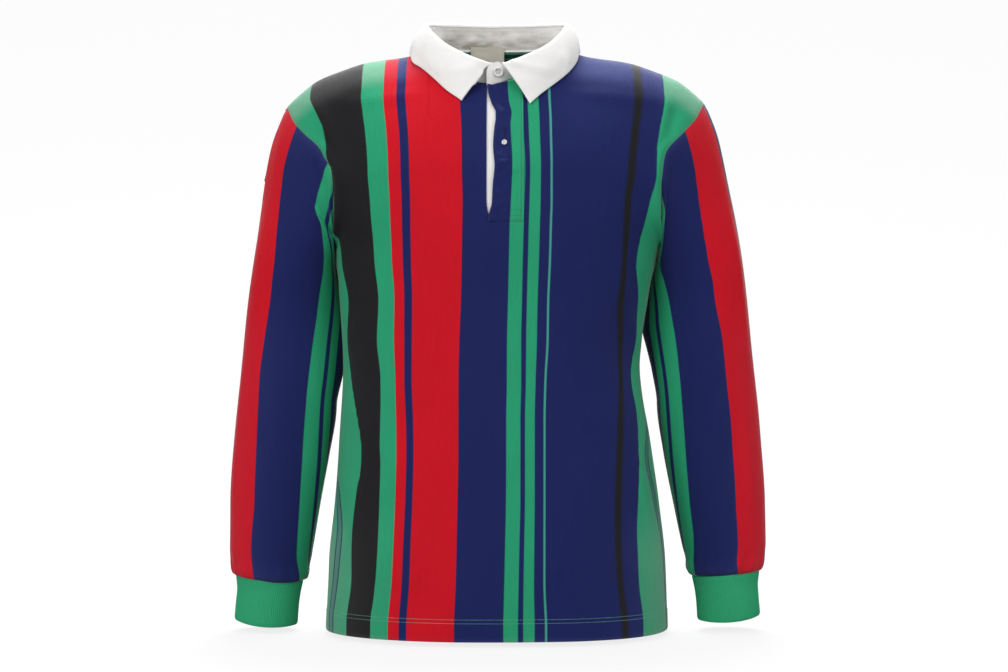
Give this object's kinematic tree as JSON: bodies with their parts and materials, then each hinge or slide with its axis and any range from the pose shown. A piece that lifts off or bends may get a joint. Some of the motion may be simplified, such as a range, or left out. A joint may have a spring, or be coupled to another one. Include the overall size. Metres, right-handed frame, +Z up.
{
  "type": "polo shirt",
  "caption": "Long-sleeved striped polo shirt in its worn shape with nobody in it: white collar, half placket, rib cuffs, straight hem.",
  "frame": {"origin": "centre of the neck opening at the height of the shoulders, where the wearer holds the shirt up", "axes": "+X to the wearer's left, +Y to the wearer's back, +Z up"},
  "size_m": [0.68, 0.2702, 0.7747],
  "materials": {
    "jersey": "heavy cotton jersey in navy, red, green and black vertical stripes",
    "rib": "green cotton rib, matt",
    "woven_white": "white cotton twill, washed",
    "tape_green": "green cotton tape",
    "label_white": "plain woven label, blank",
    "button": "white resin, soft gloss"
  },
  "bodies": {
    "root": {"front": "jersey", "back": "jersey", "sleeve_right": "jersey", "sleeve_left": "jersey", "cuff_right": "rib", "cuff_left": "rib", "collar_stand": "woven_white", "collar_leaf": "woven_white", "placket_over": "jersey", "placket_under": "woven_white", "neck_button": "button", "placket_button": "button", "neck_tape": "tape_green", "neck_label": "label_white"}
  },
  "joints": []
}
